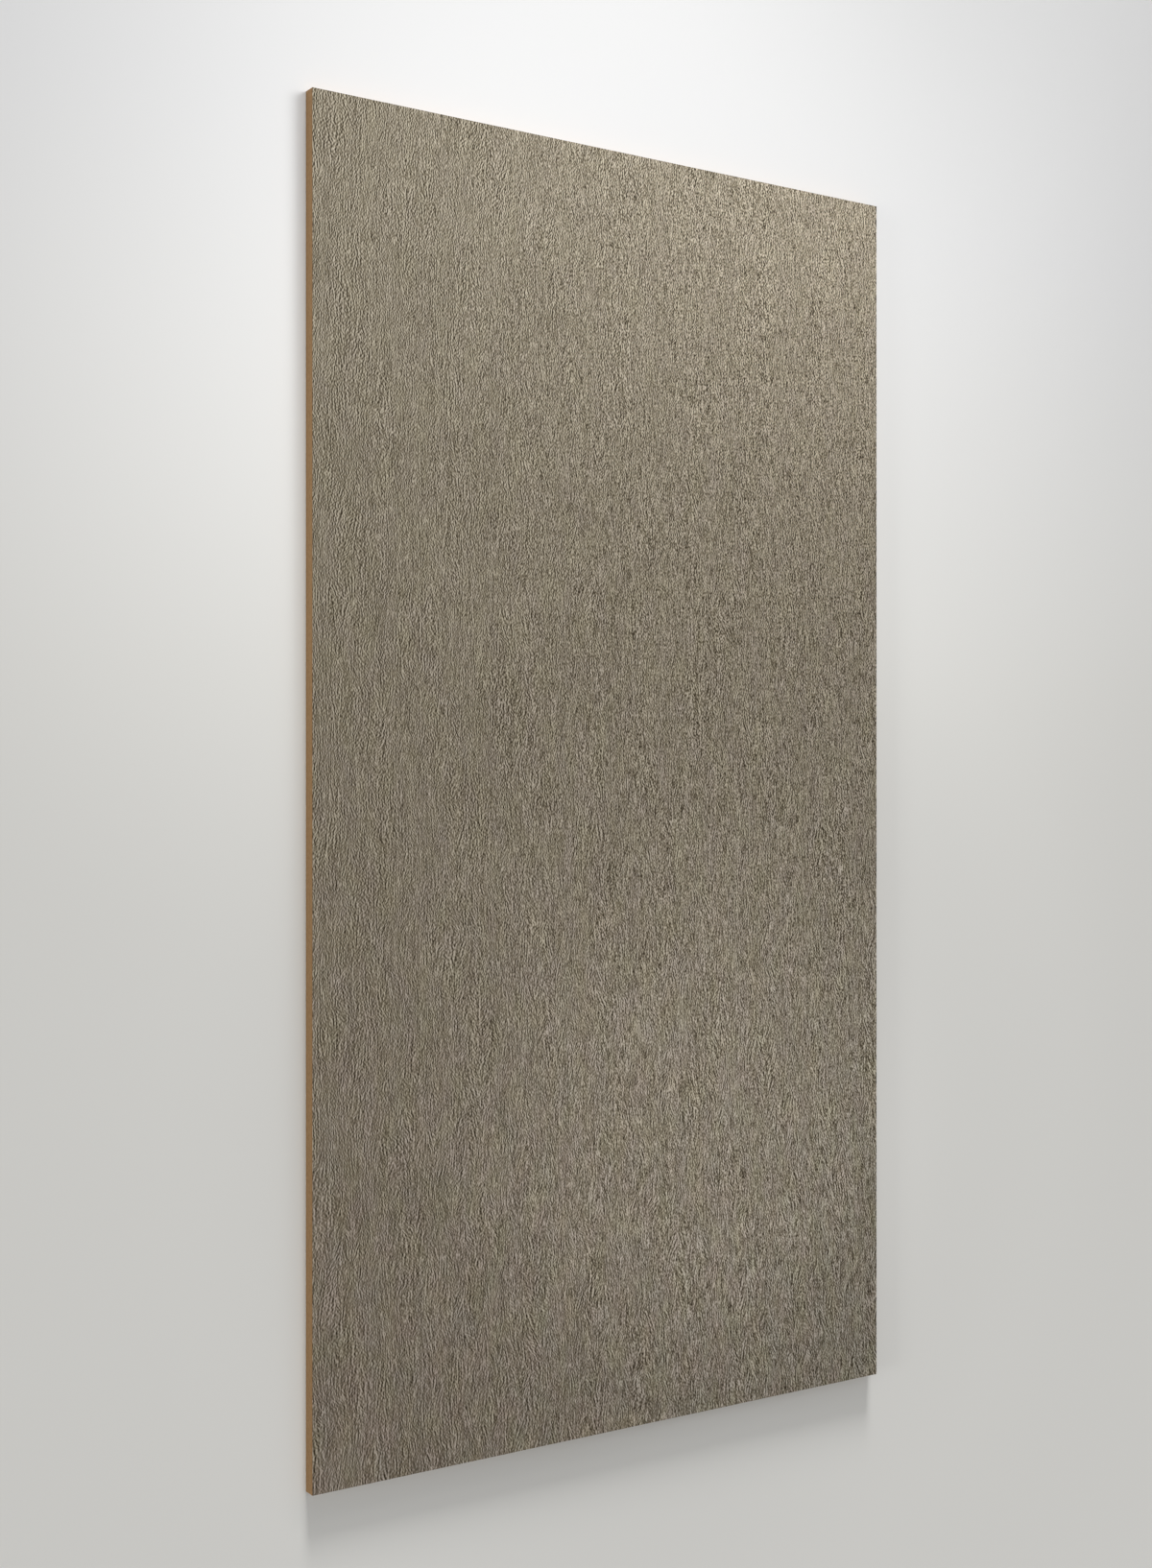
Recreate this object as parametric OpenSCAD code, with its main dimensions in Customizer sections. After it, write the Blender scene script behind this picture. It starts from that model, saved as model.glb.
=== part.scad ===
// Veneered board: a flat core board with a textured wood veneer pressed on
// its face and a plain balancing veneer pressed on its back. It lies flat,
// face up. The origin is at the middle of its back, on the surface it rests on.
// X is the width, Y the length (the grain's direction), Z the thickness.

/* [Panel] */
// Length of the board, along the grain
panel_length = 2440; // [600:10:3050]
// Width of the board, across the grain
panel_width = 1300; // [300:10:1830]

/* [Core] */
// Thickness of the core board
core_thickness = 25; // [6:0.5:38]

/* [Veneers] */
// Thickness of the textured veneer on the face
face_veneer_thickness = 0.9; // [0.5:0.1:2.5]
// Thickness of the balancing veneer on the back
backing_veneer_thickness = 0.6; // [0.4:0.1:2.5]

/* [Hidden] */

// Heights of the two glue lines, where one layer ends and the next starts
back_glue_line = backing_veneer_thickness;
face_glue_line = back_glue_line + core_thickness;

// One layer of the lay-up. All layers are trimmed flush by the same saw cuts,
// so they share the board's length and width.
module layer(bottom, thickness) {
    translate([0, 0, bottom])
        linear_extrude(height = thickness)
            square([panel_width, panel_length], center = true);
}

module core_board() {
    color([0.54, 0.42, 0.29]) layer(back_glue_line, core_thickness);
}

module face_veneer() {
    color([0.50, 0.47, 0.41]) layer(face_glue_line, face_veneer_thickness);
}

module backing_veneer() {
    color([0.58, 0.50, 0.39]) layer(0, backing_veneer_thickness);
}

core_board();
face_veneer();
backing_veneer();
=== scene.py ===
"""A veneer-faced board, lying face up on a pale floor and seen from above.

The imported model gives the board's three layers. Here the face veneer becomes a sheet with a real relief,
every layer gets its wood, and a floor, soft lamps and a camera show it. Lengths are in metres, as in the
frame, and the grain's own sizes are in millimetres.
"""

import math
import bpy
import numpy as np
from mathutils import Matrix, Vector


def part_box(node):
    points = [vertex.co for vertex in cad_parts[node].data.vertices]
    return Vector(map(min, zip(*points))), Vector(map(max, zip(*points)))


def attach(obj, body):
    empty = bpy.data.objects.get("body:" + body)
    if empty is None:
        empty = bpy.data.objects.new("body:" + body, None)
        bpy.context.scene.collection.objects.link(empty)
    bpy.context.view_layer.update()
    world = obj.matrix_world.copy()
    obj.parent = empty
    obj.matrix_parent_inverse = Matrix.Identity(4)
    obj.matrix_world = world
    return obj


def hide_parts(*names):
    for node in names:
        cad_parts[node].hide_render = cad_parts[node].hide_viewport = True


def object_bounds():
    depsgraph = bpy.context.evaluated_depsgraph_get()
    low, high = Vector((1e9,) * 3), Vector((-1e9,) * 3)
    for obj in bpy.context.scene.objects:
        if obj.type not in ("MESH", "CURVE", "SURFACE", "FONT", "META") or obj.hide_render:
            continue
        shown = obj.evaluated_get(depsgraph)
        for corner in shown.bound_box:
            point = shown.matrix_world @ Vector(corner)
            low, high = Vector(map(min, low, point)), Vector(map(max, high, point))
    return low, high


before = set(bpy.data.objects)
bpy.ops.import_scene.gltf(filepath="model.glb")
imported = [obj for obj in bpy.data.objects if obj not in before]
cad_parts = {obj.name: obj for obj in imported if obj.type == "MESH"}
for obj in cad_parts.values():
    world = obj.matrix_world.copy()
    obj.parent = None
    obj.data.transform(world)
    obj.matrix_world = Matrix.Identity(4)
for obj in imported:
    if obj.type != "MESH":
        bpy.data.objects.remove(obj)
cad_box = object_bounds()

MM = 0.001

# From the middle of the board to its left or right side, and to its foot or head, in millimetres
HALF_WIDTH = cad_box[1].x / MM
HALF_LENGTH = cad_box[1].y / MM

# The grain's parts: the distances in millimetres across and along the grain over which each changes
SWELL = (15.0, 48.0)  # slow rise and fall of the brushed face, held by the mesh
STROKE = (2.7, 26.0)  # the brushed strokes that show from afar
FIBRE = (2.1, 4.6)  # the shorter strokes between them
HAIR = (0.45, 9.0)  # single fibres, for a close look
LINE = (2.8, 60.0)  # long thin lines
STREAK = (9.0, 150.0)  # long broad streaks, darker and lighter
MOTTLE = (13.0, 30.0)  # small patches of tone
CLOUD = (90.0, 260.0)  # large patches of tone
FLECK = (5.5, 17.0)  # sparse lighter strokes, broader than the rest
STRONGER = (34.0, 75.0)  # patches of stronger and fainter strokes
FEATHER = (22.0, 50.0)  # patches in which the strokes lean to one side
SWAY = (110.0, 160.0)  # slow wander of the grain's direction
WAVER = (26.0, 30.0)  # quick wander of the single strokes
TINT = (38.0, 80.0)  # greyer and browner patches
GREYING = (45.0, 80.0)  # redder and neutral grey patches towards the foot

# How the strokes lie: lengths, and places across the board from its middle, are in millimetres
SWAY_REACH = 12.0  # how far the slow wander moves the grain sideways
WAVER_REACH = 1.2  # how far the quick wander moves the strokes sideways
TURN = (-0.03, 0.08)  # slope of the grain against the board's length, at the left and right sides
LEAN = 0.24  # how far a leaning stroke goes sideways for its length
LEANING = (0.06, 0.15)  # values of the leaning noise at which strokes begin to lean, and at which all do
LEFT_LEANING = 0.5  # what that noise is multiplied by at the left side, where most strokes are straight
LEANING_FROM = -150.0  # place from which the noise has its full strength
HEART_SPACING = 40.0  # from one line of chevrons in the strokes to the next that points the same way
HEART_PULL = 0.14  # how much those lines add to the noise
APART = 2.4  # from the middle of a stroke to the grooves beside it
SWELL_DEPTH = 0.22  # height between the lowest and highest parts of the slow relief
STROKE_DEPTH = 0.28  # height of the strokes

# How strong the strokes are: a pair is for the left and right sides, unless it says otherwise
CONTRAST = (0.78, 1.25)  # of all strokes
STRONGER_SHARE = (0.84, 1.14)  # of all strokes in the faintest and the strongest patches
FIBRE_SHARE = (1.8, 1.6)  # of the short strokes beside the long ones
FIBRE_ALONG = (0.6, 1.05)  # what FIBRE_SHARE is multiplied by at the foot and at the head
CRISP = (0.42, 0.18)  # how much the grooves set a stroke off, at the left side and from EVEN_FROM on
LEFT_PAINTED_LIGHT = 0.028  # painted light: how much lighter the tone is at the left side, out of 1, as if lit more from the left
EVEN_FROM = 100.0  # place across the board, in millimetres, from which those two no longer change

# The other layers, in millimetres
SAW_PITCH = 3.2  # distance between the saw marks on the core's edge
SKIN_DEPTH = 5.0  # depth of the core's closer and darker skins
BACK_BAND = (14.0, 420.0)  # bands of tone on the back, across and along the grain
BACK_PORE = (0.6, 14.0)  # its pores

# Mesh of the face sheet: columns across the board, rows along it
COLUMNS = 340
ROWS = 280

# Colours, as written in sRGB from 0 to 255
FACE = (113, 104, 87)
GROOVE_SHADE = 78  # how much darker than FACE the deepest grooves are: the grain's tone with painted shade
RIDGE_LIGHT = 62  # how much lighter the highest ridges are: the grain's tone with a painted highlight
TAN_CORE = (155, 122, 84)
BACK_WOOD = (158, 136, 106)
FLOOR = (221, 220, 216)
FLOOR_HEAD = (220, 220, 220)  # beyond the board's head

# The face's tints, which its colour is multiplied by, and its gloss
RED_GREY = (0.997, 0.980, 1.035, 1.0)
YELLOW_BROWN = (1.0, 1.006, 0.96, 1.0)
TINT_SHARE = (1.1, 0.25)  # how far the TINT patches go to those two, at the foot and at the head
YELLOWER = (-0.03, 0.075)  # how far the right side and the head go from the middle's tint to YELLOW_BROWN
FOOT_RED = (1.02, 0.975, 1.01, 1.0)
FOOT_GREY = (0.95, 1.005, 1.03, 1.0)
FOOT_FROM = 400.0  # place along the board, in millimetres, from which the last two grow to the foot
GREYING_SHARE = 1.35  # how far the GREYING patches go to them
GREYER = (0.21, 0.79)  # how far the left and right sides are from FOOT_RED to FOOT_GREY
ROUGHNESS = (0.72, 0.56)  # of the grooves and of the ridges

# The floor: places and lengths are in metres from the board's middle. Its colour is multiplied by a shade,
# which is painted light and painted shade: darker where the lamps are close and lighter where they leave the
# floor dim. A shade of 1 is its own colour
FLOOR_SPAN = 2.0  # how far to both sides the next two shades change
FLOOR_ACROSS = (0.92, 1.08)  # shade at the left and at the right
FLOOR_ALONG = (1.11, 0.89)  # shade past the foot and past the head
FLOOR_TURN = (1.2, 0.2)  # places along the board: past the first it is FLOOR_HEAD, below the second FLOOR
# Round places of painted shade and painted light: centre, radius, and how light the centre is.
# Painted shade under the head lamp and under the foot lamp, and painted light beside the board's left side.
FLOOR_PAINTED_ROUNDS = (
    ((0.82, 1.90), 1.71, 0.544),
    ((-0.67, 0.68), 1.04, 1.166),
    ((0.19, -0.58), 1.14, 0.69),
)
# Where the shade begins to even out, where it is even, and what it is there
FLOOR_FAR = (2.3, 6.0, 1.22)

# Camera: how far it leans from straight down, and what it looks at on the face
CAMERA_LEAN = math.radians(33.53)
CAMERA_DISTANCE = 3.779
CAMERA_AIM = (-0.103, 0.013)
CAMERA_LENS = 46.09


def linear(colour):
    """The colour as Blender's linear red, green, blue and alpha."""
    shares = [c / 255 for c in colour]
    return [s / 12.92 if s <= 0.04045 else ((s + 0.055) / 1.055) ** 2.4 for s in shares] + [1.0]


def shifted(colour, amount):
    """The colour made lighter or darker by the same amount in each channel."""
    return tuple(min(255, max(0, c + amount)) for c in colour)


class Graph:
    """Short calls that add nodes to a shader or geometry tree and join them."""

    def __init__(self, tree):
        self.tree = tree

    def add(self, kind, inputs=(), **settings):
        """A new node. Each input is a socket to join or a value to set."""
        node = self.tree.nodes.new(kind)
        for key, value in settings.items():
            setattr(node, key, value)
        for key, value in dict(inputs).items():
            self.put(node.inputs[key], value)
        return node

    def put(self, socket, value):
        if isinstance(value, bpy.types.NodeSocket):
            self.tree.links.new(value, socket)
        else:
            socket.default_value = value

    def math(self, operation, *values):
        node = self.add("ShaderNodeMath", enumerate(values), operation=operation)
        return node.outputs[0]

    def vector(self, operation, *values):
        node = self.add("ShaderNodeVectorMath", enumerate(values), operation=operation)
        return node.outputs[0]

    def scaled(self, vector, factor):
        node = self.add("ShaderNodeVectorMath", {0: vector, "Scale": factor}, operation="SCALE")
        return node.outputs[0]

    def distance(self, vector, centre):
        """How far the vector is from a centre on the floor."""
        offset = self.vector("SUBTRACT", vector, (*centre, 0.0))
        return self.add("ShaderNodeVectorMath", {0: offset}, operation="LENGTH").outputs[1]

    def parts(self, vector):
        return self.add("ShaderNodeSeparateXYZ", {0: vector}).outputs

    def joined(self, x=0.0, y=0.0, z=0.0):
        return self.add("ShaderNodeCombineXYZ", {0: x, 1: y, 2: z}).outputs[0]

    def noise(self, vector, size, shift=0.0, detail=0.0, rough=0.5):
        """Noise around 0 that changes over size[0] across and size[1] along, in the vector's own unit.

        The shift picks another part of the noise.
        """
        stretched = self.vector("MULTIPLY", vector, (1 / size[0], 1 / size[1], 1.0))
        moved = self.vector("ADD", stretched, (shift, shift * 1.7, 0.0))
        inputs = {"Vector": moved, "Scale": 1.0, "Detail": detail, "Roughness": rough}
        node = self.add("ShaderNodeTexNoise", inputs, noise_dimensions="2D")
        return self.math("SUBTRACT", node.outputs["Fac"], 0.5)

    def ramp(self, factor, stops):
        """A colour ramp through (place, linear colour) stops."""
        node = self.add("ShaderNodeValToRGB", {"Fac": factor})
        elements = node.color_ramp.elements
        while len(elements) < len(stops):
            elements.new(0.5)
        for element, (place, colour) in zip(elements, stops):
            element.position = place
            element.color = colour
        return node.outputs["Color"]

    def map(self, value, low, high, to_low, to_high, smooth=False):
        """The value's way from low to high as a way from to_low to to_high. It stops at both ends."""
        inputs = {0: value, 1: low, 2: high, 3: to_low, 4: to_high}
        kind = "SMOOTHSTEP" if smooth else "LINEAR"
        return self.add("ShaderNodeMapRange", inputs, interpolation_type=kind).outputs[0]

    def tinted(self, factor, colour, tint):
        """The colour, multiplied by the tint as far as the factor says."""
        node = self.add("ShaderNodeMix", data_type="RGBA", blend_type="MULTIPLY")
        self.put(node.inputs["Factor"], factor)
        self.put(node.inputs[6], colour)
        self.put(node.inputs[7], tint)
        return node.outputs[2]


def new_material(name):
    """A material with an empty tree, its graph, and its Principled shader joined to the output."""
    material = bpy.data.materials.new(name)
    material.use_nodes = True
    graph = Graph(material.node_tree)
    material.node_tree.nodes.clear()
    shader = graph.add("ShaderNodeBsdfPrincipled")
    output = graph.add("ShaderNodeOutputMaterial")
    graph.put(output.inputs["Surface"], shader.outputs[0])
    return material, graph, shader


def object_mm(graph):
    """The place on the piece, in millimetres."""
    return graph.scaled(graph.add("ShaderNodeTexCoord").outputs["Object"], 1 / MM)


# --- The grain, shared by the face's mesh and its material ---


def wandering(graph, place):
    """The place, moved sideways so that straight strokes wander as the grain does."""
    x, y, _ = graph.parts(place)
    sway = graph.math("MULTIPLY", graph.noise(place, SWAY, 3.1), 2 * SWAY_REACH)
    turn = graph.map(x, -HALF_WIDTH, HALF_WIDTH, *TURN)
    turned = graph.math("MULTIPLY_ADD", y, turn, x)
    waver = graph.math("MULTIPLY", graph.noise(place, WAVER, 7.7), 2 * WAVER_REACH)
    return graph.joined(graph.math("ADD", graph.math("ADD", turned, sway), waver), y)


def leaning(graph, grain, lean):
    """The grain's place, for strokes that lean by the given slope."""
    x, y, _ = graph.parts(grain)
    return graph.joined(graph.math("MULTIPLY_ADD", y, lean, x), y)


def brushed(graph, grain, crisp):
    """The strokes' tone and height, both around 0.

    Most strokes run straight. In patches they lean left and right in turn, as the barbs of a feather do.
    Crisp says how much the places beside a stroke take from its tone.
    """
    begin, end = LEANING
    across, along, _ = graph.parts(grain)
    turns = graph.math("SINE", graph.math("MULTIPLY", across, 2 * math.pi / HEART_SPACING))
    side = graph.math("MULTIPLY_ADD", turns, HEART_PULL, graph.noise(grain, FEATHER, 11.3, detail=1.0))
    side = graph.math("MULTIPLY", side, graph.map(across, -HALF_WIDTH, LEANING_FROM, LEFT_LEANING, 1.0))
    left = graph.map(side, -begin, -end, 0.0, 1.0, smooth=True)
    right = graph.map(side, begin, end, 0.0, 1.0, smooth=True)
    straight = graph.math("SUBTRACT", 1.0, graph.math("ADD", left, right))
    fibres = graph.map(across, -HALF_WIDTH, HALF_WIDTH, *FIBRE_SHARE)
    fibres = graph.math("MULTIPLY", fibres, graph.map(along, -HALF_LENGTH, HALF_LENGTH, *FIBRE_ALONG))
    tone = 0.0
    height = 0.0
    for lean, share, shift in ((0.0, straight, 2.3), (LEAN, left, 27.4), (-LEAN, right, 51.2)):
        leaned = leaning(graph, grain, lean)
        strokes = []
        for step in (0.0, -APART, APART):
            place = graph.vector("ADD", leaned, (step, 0.0, 0.0))
            fibre = graph.noise(place, FIBRE, shift + 3.6)
            strokes.append(graph.math("MULTIPLY_ADD", fibre, fibres, graph.noise(place, STROKE, shift)))
        beside = graph.math("ADD", strokes[1], strokes[2])
        crisped = graph.math("SUBTRACT", strokes[0], graph.math("MULTIPLY", beside, crisp))
        tone = graph.math("MULTIPLY_ADD", crisped, share, tone)
        height = graph.math("MULTIPLY_ADD", strokes[0], share, height)
    return tone, height


def swell(graph, place):
    """The slow relief, from 0 to 1."""
    return graph.map(graph.noise(place, SWELL, 1.9), -0.3, 0.3, 0.0, 1.0)


# --- Materials ---


def face_material():
    """Grey-brown veneer brushed into short strokes, with greyer, browner and fainter patches, painted shade
    in the grooves, a painted highlight on the ridges and painted light at the left side.
    """
    material, graph, shader = new_material("brushed_grey_brown_veneer")
    place = object_mm(graph)
    x, y, _ = graph.parts(place)
    grain = wandering(graph, place)
    relief, height = brushed(graph, grain, graph.map(x, -HALF_WIDTH, EVEN_FROM, *CRISP))
    hair = graph.noise(grain, HAIR, 8.2)
    broad = graph.math("SUBTRACT", swell(graph, grain), 0.5)
    fleck = graph.map(graph.noise(grain, FLECK, 14.1), 0.17, 0.32, 0.0, 1.0, smooth=True)
    others = (
        (fleck, 0.20),
        (hair, 0.12),
        (graph.noise(grain, LINE, 33.7), 0.14),
        (graph.noise(grain, STREAK, 4.4), 0.14),
        (graph.noise(grain, MOTTLE, 21.6, detail=1.0), 0.10),
        (graph.noise(place, CLOUD, 6.6, detail=2.0), 0.07),
        (broad, 0.05),
    )
    patchy = graph.map(graph.noise(place, STRONGER, 9.4, detail=2.0), -0.2, 0.2, *STRONGER_SHARE)
    strength = graph.math("MULTIPLY", patchy, graph.map(x, -HALF_WIDTH, HALF_WIDTH, *CONTRAST))
    # Painted light: the tone is made lighter towards the left side.
    left_painted_light = graph.map(x, -HALF_WIDTH, EVEN_FROM, LEFT_PAINTED_LIGHT, 0.0)
    marks = graph.math("MULTIPLY_ADD", relief, strength, left_painted_light)
    for part, weight in others:
        marks = graph.math("MULTIPLY_ADD", part, weight, marks)

    # The strokes' colour: the grain's tone, with painted shade in the grooves and a painted highlight on the
    # ridges, and painted light at the left side.
    tone = graph.map(marks, -0.5, 0.5, 0.0, 1.0)
    groove = linear(shifted(FACE, -GROOVE_SHADE))
    ridge = linear(shifted(FACE, RIDGE_LIGHT))
    colour = graph.ramp(tone, [(0.0, groove), (0.5, linear(FACE)), (1.0, ridge)])
    drift = graph.math("MULTIPLY", y, YELLOWER[1] / HALF_LENGTH)
    drift = graph.math("MULTIPLY_ADD", x, YELLOWER[0] / HALF_WIDTH, drift)
    change = graph.map(y, -HALF_LENGTH, HALF_LENGTH, *TINT_SHARE)
    warmth = graph.math("MULTIPLY_ADD", graph.noise(place, TINT, 12.8, detail=1.0), change, drift)
    warmth = graph.map(warmth, -0.2, 0.2, 0.0, 1.0)
    tint = graph.ramp(warmth, [(0.0, RED_GREY), (1.0, YELLOW_BROWN)])
    greying = graph.noise(place, GREYING, 40.3, detail=1.0)
    greyer = graph.map(x, -HALF_WIDTH, HALF_WIDTH, *GREYER)
    greying = graph.math("MULTIPLY_ADD", greying, GREYING_SHARE, greyer)
    foot_tint = graph.ramp(greying, [(0.0, FOOT_RED), (1.0, FOOT_GREY)])
    towards_foot = graph.map(y, FOOT_FROM, -HALF_LENGTH, 0.0, 1.0)
    colour = graph.tinted(towards_foot, graph.tinted(1.0, colour, tint), foot_tint)
    graph.put(shader.inputs["Base Color"], colour)
    graph.put(shader.inputs["Roughness"], graph.map(marks, -0.3, 0.3, *ROUGHNESS))
    graph.put(shader.inputs["Specular IOR Level"], 0.2)
    height = graph.math("MULTIPLY_ADD", hair, 0.12, height)
    bump = graph.add("ShaderNodeBump", {"Distance": STROKE_DEPTH * MM, "Height": height})
    graph.put(shader.inputs["Normal"], bump.outputs[0])
    return material


def core_material():
    """Sawn fibreboard: even tan, with fine fibres, closer and darker skins and faint saw marks."""
    material, graph, shader = new_material("tan_fibreboard")
    place = object_mm(graph)
    low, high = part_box("core_board")
    speckle = graph.add("ShaderNodeTexNoise", {"Vector": place, "Scale": 1.1, "Detail": 3.0})
    clump = graph.add("ShaderNodeTexNoise", {"Vector": place, "Scale": 0.16, "Detail": 2.0})
    x, y, z = graph.parts(place)
    middle = (low.z + high.z) / 2 / MM
    from_middle = graph.math("ABSOLUTE", graph.math("SUBTRACT", z, middle))
    half = (high.z - low.z) / 2 / MM
    skin = graph.map(from_middle, half - SKIN_DEPTH, half, 0.0, 1.0, smooth=True)
    tone = graph.math("MULTIPLY", speckle.outputs["Fac"], 0.5)
    tone = graph.math("MULTIPLY_ADD", clump.outputs["Fac"], 0.4, tone)
    tone = graph.math("MULTIPLY_ADD", skin, -0.10, tone)
    stops = [
        (0.15, linear(shifted(TAN_CORE, -26))),
        (0.45, linear(TAN_CORE)),
        (0.75, linear(shifted(TAN_CORE, 22))),
    ]
    graph.put(shader.inputs["Base Color"], graph.ramp(tone, stops))
    graph.put(shader.inputs["Roughness"], 0.8)
    graph.put(shader.inputs["Specular IOR Level"], 0.25)
    along = graph.math("ADD", x, y)
    saw = graph.math("SINE", graph.math("MULTIPLY", along, 2 * math.pi / SAW_PITCH))
    height = graph.math("MULTIPLY_ADD", saw, 0.12, speckle.outputs["Fac"])
    bump = graph.add("ShaderNodeBump", {"Distance": 0.08 * MM, "Height": height})
    graph.put(shader.inputs["Normal"], bump.outputs[0])
    return material


def backing_material():
    """Plain sanded veneer with straight grain."""
    material, graph, shader = new_material("plain_backing_veneer")
    place = object_mm(graph)
    band = graph.noise(place, BACK_BAND, 2.2, detail=3.0)
    pore = graph.noise(place, BACK_PORE, 5.1, detail=1.0)
    tone = graph.math("MULTIPLY_ADD", pore, 0.35, band)
    stops = [
        (0.0, linear(shifted(BACK_WOOD, -34))),
        (0.5, linear(BACK_WOOD)),
        (1.0, linear(shifted(BACK_WOOD, 26))),
    ]
    graph.put(shader.inputs["Base Color"], graph.ramp(graph.map(tone, -0.4, 0.4, 0.0, 1.0), stops))
    graph.put(shader.inputs["Roughness"], 0.7)
    graph.put(shader.inputs["Specular IOR Level"], 0.3)
    bump = graph.add("ShaderNodeBump", {"Distance": 0.05 * MM, "Height": pore})
    graph.put(shader.inputs["Normal"], bump.outputs[0])
    return material


def floor_material():
    """A pale matt floor with painted light and shade: whiter past the board's head, painted shade that makes
    it greyer where a lamp is close, painted light beside the board's left side, and even far away.
    """
    material, graph, shader = new_material("pale_floor")
    place = graph.add("ShaderNodeTexCoord").outputs["Object"]
    x, y, _ = graph.parts(place)
    # Painted light and painted shade: the shade makes the floor darker where the lamps are close and lighter
    # where they leave it dim.
    shade = graph.map(x, -FLOOR_SPAN, FLOOR_SPAN, *FLOOR_ACROSS)
    shade = graph.math("MULTIPLY", shade, graph.map(y, -FLOOR_SPAN, FLOOR_SPAN, *FLOOR_ALONG))
    # Painted shade under the lamps and painted light beside the board's left side, in round places.
    for centre, radius, inner in FLOOR_PAINTED_ROUNDS:
        distance = graph.distance(place, centre)
        shade = graph.math("MULTIPLY", shade, graph.map(distance, 0.0, radius, inner, 1.0, smooth=True))
    begin, end, paler = FLOOR_FAR
    far = graph.map(graph.distance(place, (0.0, 0.0)), begin, end, 0.0, 1.0, smooth=True)
    shade = graph.math("MULTIPLY_ADD", far, graph.math("SUBTRACT", paler, shade), shade)
    pale = graph.map(y, *FLOOR_TURN, 0.0, 1.0)
    pale = graph.ramp(pale, [(0.0, linear(FLOOR_HEAD)), (1.0, linear(FLOOR))])
    graph.put(shader.inputs["Base Color"], graph.scaled(pale, shade))
    graph.put(shader.inputs["Roughness"], 0.9)
    graph.put(shader.inputs["Specular IOR Level"], 0.0)
    return material


# --- Pieces ---


def sheet_mesh(name, low, high):
    """A closed sheet: a grid on top, one row of walls round it and a flat underside."""
    xs = np.linspace(low.x, high.x, COLUMNS + 1)
    ys = np.linspace(low.y, high.y, ROWS + 1)
    grid_x, grid_y = np.meshgrid(xs, ys)
    top = np.stack([grid_x, grid_y, np.full_like(grid_x, high.z)], axis=-1).reshape(-1, 3)
    index = np.arange(len(top)).reshape(ROWS + 1, COLUMNS + 1)
    rim = np.concatenate([index[0, :-1], index[:-1, -1], index[-1, :0:-1], index[:0:-1, 0]])
    under = top[rim] * (1, 1, 0) + (0, 0, low.z)
    under_rim = len(top) + np.arange(len(rim))
    quads = np.stack([index[:-1, :-1], index[:-1, 1:], index[1:, 1:], index[1:, :-1]], axis=-1)
    quads = quads.reshape(-1, 4)
    walls = np.stack([np.roll(rim, -1), rim, under_rim, np.roll(under_rim, -1)], axis=-1)
    faces = quads.tolist() + walls.tolist() + [under_rim[::-1].tolist()]
    mesh = bpy.data.meshes.new(name)
    mesh.from_pydata(np.concatenate([top, under]).tolist(), [], faces)
    mesh.polygons.foreach_set("use_smooth", np.arange(len(faces)) < len(quads))
    add_bake_map(mesh, low, high, len(quads), len(walls))
    return mesh


def add_bake_map(mesh, low, high, top_faces, wall_faces):
    """The map for baked textures: the top fills most of it, and the walls and underside are strips below."""
    layer = mesh.uv_layers.new(name="OFBake")
    size = high - low
    for polygon in mesh.polygons:
        for k, loop in enumerate(polygon.loop_indices):
            point = mesh.vertices[mesh.loops[loop].vertex_index].co
            u = (point.x - low.x) / size.x
            v = (point.y - low.y) / size.y
            if polygon.index < top_faces:
                layer.uv[loop].vector = (0.005 + 0.99 * u, 0.055 + 0.94 * v)
            elif polygon.index < top_faces + wall_faces:
                step = polygon.index - top_faces + (1 if k in (0, 3) else 0)
                layer.uv[loop].vector = (0.005 + 0.99 * step / wall_faces, 0.04 if k < 2 else 0.032)
            else:
                layer.uv[loop].vector = (0.005 + 0.99 * u, 0.005 + 0.02 * v)


def press_relief(piece, low, high):
    """Sinks the sheet's top by the slow relief, with the same grain as the material, and keeps the mesh."""
    tree = bpy.data.node_groups.new("pressed_relief", "GeometryNodeTree")
    tree.interface.new_socket("Geometry", in_out="INPUT", socket_type="NodeSocketGeometry")
    tree.interface.new_socket("Geometry", in_out="OUTPUT", socket_type="NodeSocketGeometry")
    graph = Graph(tree)
    place = graph.scaled(graph.add("GeometryNodeInputPosition").outputs[0], 1 / MM)
    z = graph.parts(place)[2]
    on_top = graph.math("GREATER_THAN", z, (low.z + high.z) / 2 / MM)
    depth = graph.map(swell(graph, wandering(graph, place)), 0.0, 1.0, -SWELL_DEPTH * MM, 0.0)
    offset = graph.joined(z=graph.math("MULTIPLY", depth, on_top))
    source = graph.add("NodeGroupInput").outputs[0]
    moved = graph.add("GeometryNodeSetPosition", {"Geometry": source, "Offset": offset})
    target = graph.add("NodeGroupOutput")
    graph.put(target.inputs[0], moved.outputs[0])
    modifier = piece.modifiers.new("pressed_relief", "NODES")
    modifier.node_group = tree
    depsgraph = bpy.context.evaluated_depsgraph_get()
    piece.data = bpy.data.meshes.new_from_object(piece.evaluated_get(depsgraph))
    piece.modifiers.remove(modifier)


def make_face():
    low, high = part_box("face_veneer")
    piece = bpy.data.objects.new("brushed_face", sheet_mesh("brushed_face", low, high))
    bpy.context.scene.collection.objects.link(piece)
    press_relief(piece, low, high)
    piece.data.set_sharp_from_angle(angle=math.radians(50))
    piece.data.materials.clear()
    piece.data.materials.append(face_material())
    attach(piece, "root")
    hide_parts("face_veneer")
    return piece


def dress(node, material):
    """Gives a CAD node its material."""
    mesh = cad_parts[node].data
    mesh.materials.clear()
    mesh.materials.append(material)


# --- Floor, lamps and camera ---


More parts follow.
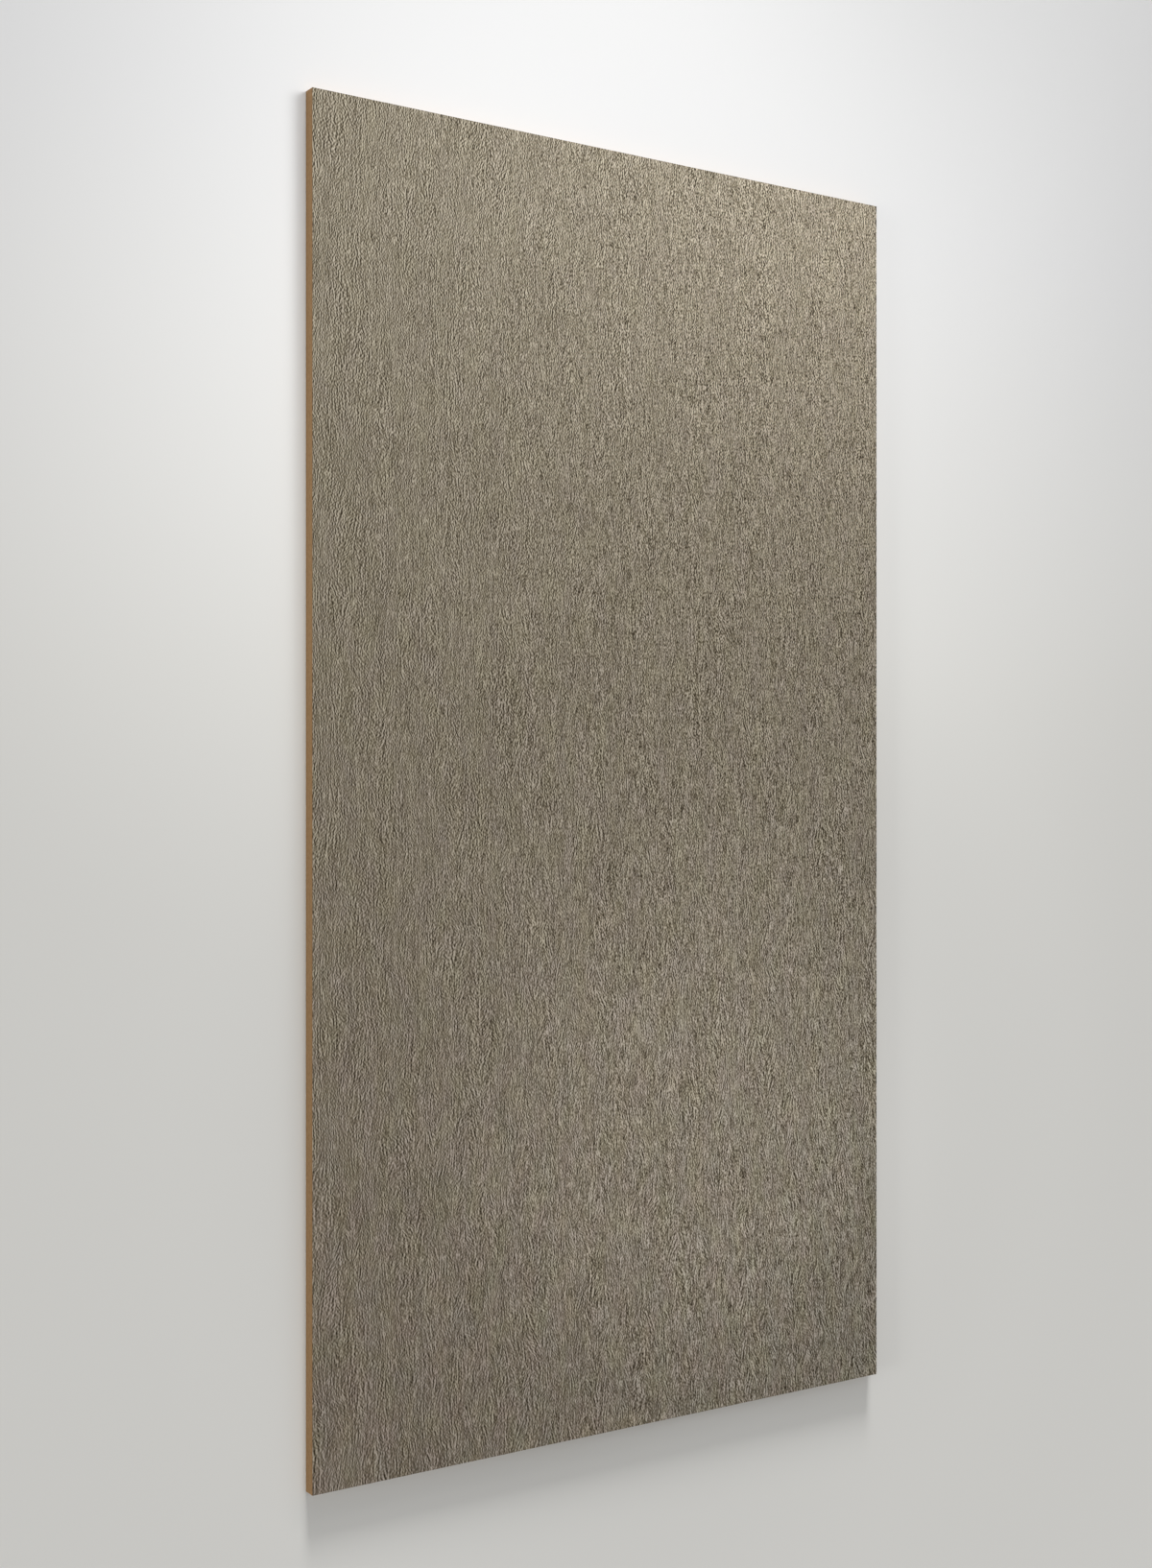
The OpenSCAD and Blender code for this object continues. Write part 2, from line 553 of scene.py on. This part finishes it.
def make_floor():
    mesh = bpy.data.meshes.new("floor")
    reach = 30.0
    corners = [(-reach, -reach, 0), (reach, -reach, 0), (reach, reach, 0), (-reach, reach, 0)]
    mesh.from_pydata(corners, [], [(0, 1, 2, 3)])
    mesh.materials.append(floor_material())
    floor = bpy.data.objects.new("floor", mesh)
    bpy.context.scene.collection.objects.link(floor)


def place_light(light, place, aim):
    """Adds the light to the scene, turned towards its aim, and returns it. The camera doesn't see it."""
    holder = bpy.data.objects.new(light.name, light)
    holder.location = place
    holder.rotation_euler = (Vector(aim) - Vector(place)).to_track_quat("-Z", "Y").to_euler()
    holder.visible_camera = False
    bpy.context.scene.collection.objects.link(holder)
    return holder


def make_lamp(name, place, aim, size, watts):
    """A round soft lamp."""
    lamp = bpy.data.lights.new(name, "AREA")
    lamp.shape = "DISK"
    lamp.size = size
    lamp.energy = watts
    place_light(lamp, place, aim)


def make_softbox(name, place, aim, size, watts, spread):
    """A long soft lamp of (length, height), with the angle in degrees over which it lets light out."""
    lamp = bpy.data.lights.new(name, "AREA")
    lamp.shape = "RECTANGLE"
    lamp.size, lamp.size_y = size
    lamp.energy = watts
    lamp.spread = math.radians(spread)
    place_light(lamp, place, aim)


def make_sun(name, place, angle, strength):
    """Soft light from one side, the same all over and without a gleam.

    The angle in degrees is how large its source looks.
    """
    sun = bpy.data.lights.new(name, "SUN")
    sun.angle = math.radians(angle)
    sun.energy = strength
    place_light(sun, place, (0.0, 0.0, 0.0)).visible_glossy = False


def make_world(strength, seen):
    """Even light from all round. The camera sees a pale backdrop past the floor."""
    world = bpy.data.worlds.new("studio")
    bpy.context.scene.world = world
    world.use_nodes = True
    world.node_tree.nodes.clear()
    graph = Graph(world.node_tree)
    light = graph.add("ShaderNodeBackground", {"Color": (1, 1, 1, 1), "Strength": strength})
    backdrop = graph.add("ShaderNodeBackground", {"Color": linear(seen), "Strength": 1.0})
    rays = graph.add("ShaderNodeLightPath").outputs
    seen_by = graph.math("ADD", rays["Is Camera Ray"], rays["Is Glossy Ray"])
    seen_by = graph.math("ADD", seen_by, rays["Is Transmission Ray"])
    mix = graph.add("ShaderNodeMixShader", {0: seen_by, 1: light.outputs[0], 2: backdrop.outputs[0]})
    output = graph.add("ShaderNodeOutputWorld")
    graph.put(output.inputs["Surface"], mix.outputs[0])


def make_camera():
    """Above the board's left side, looking down and to the right, with the board's length up the picture."""
    data = bpy.data.cameras.new("camera")
    data.lens = CAMERA_LENS
    data.sensor_width = 36.0
    camera = bpy.data.objects.new("camera", data)
    bpy.context.scene.collection.objects.link(camera)
    right = Vector((math.cos(CAMERA_LEAN), 0, math.sin(CAMERA_LEAN)))
    up = Vector((0, 1, 0))
    back = Vector((-math.sin(CAMERA_LEAN), 0, math.cos(CAMERA_LEAN)))
    aim = Vector((*CAMERA_AIM, cad_box[1].z))
    camera.matrix_world = Matrix.Translation(aim + back * CAMERA_DISTANCE) @ Matrix(
        (right, up, back)
    ).transposed().to_4x4()
    bpy.context.scene.camera = camera


make_camera()
make_face()
dress("core_board", core_material())
dress("backing_veneer", backing_material())
make_floor()
make_world(strength=0.20, seen=(198, 198, 195))
make_sun("top_light", place=(0.0, 0.0, 5.0), angle=40.0, strength=0.74)
make_sun("far_light", place=(0.0, 11.0, 2.54), angle=12.0, strength=2.93)
make_lamp("head_lamp", place=(0.65, 1.85, 1.4), aim=(-0.05, 2.2, 0.0), size=1.4, watts=37.0)
make_lamp("foot_lamp", place=(0.25, -0.62, 0.4), aim=(0.25, -0.52, 0.0), size=1.0, watts=1.4)
make_softbox(
    "left_softbox", place=(-7.5, 0.0, 2.2), aim=(-0.65, 0.0, 0.0), size=(5.0, 1.2), watts=11.5, spread=36.0
)
bpy.context.scene.view_settings.view_transform = "Standard"
